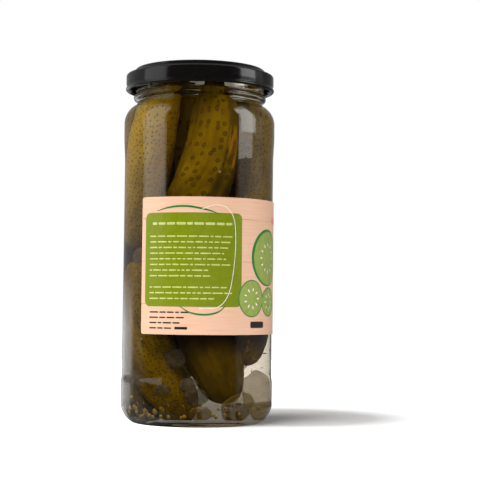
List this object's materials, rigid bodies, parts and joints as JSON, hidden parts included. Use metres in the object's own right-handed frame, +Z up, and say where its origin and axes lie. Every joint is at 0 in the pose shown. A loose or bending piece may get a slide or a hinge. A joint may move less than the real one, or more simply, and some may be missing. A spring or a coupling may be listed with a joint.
{
  "type": "pickle jar",
  "caption": "Tall glass jar with rounded shoulders, full of whole pickled gherkins with garlic and mustard seeds, with a wrap-around paper label and a black twist-off lid.",
  "frame": {"origin": "on the floor, under the middle of the jar's round base", "axes": "+Z up along the jar's axis, -Y towards the side with the label's text panel, +X to the right of a viewer on that side"},
  "size_m": [0.0734, 0.0734, 0.1718],
  "materials": {
    "glass": "clear, smooth moulded glass",
    "lid": "black gloss lacquer on tinplate",
    "label": "satin coated paper, printed",
    "pickles": "wet olive-green gherkin skin"
  },
  "bodies": {
    "root": {"jar": "glass", "lid": "lid", "label": "label", "pickles": "pickles"}
  },
  "joints": []
}
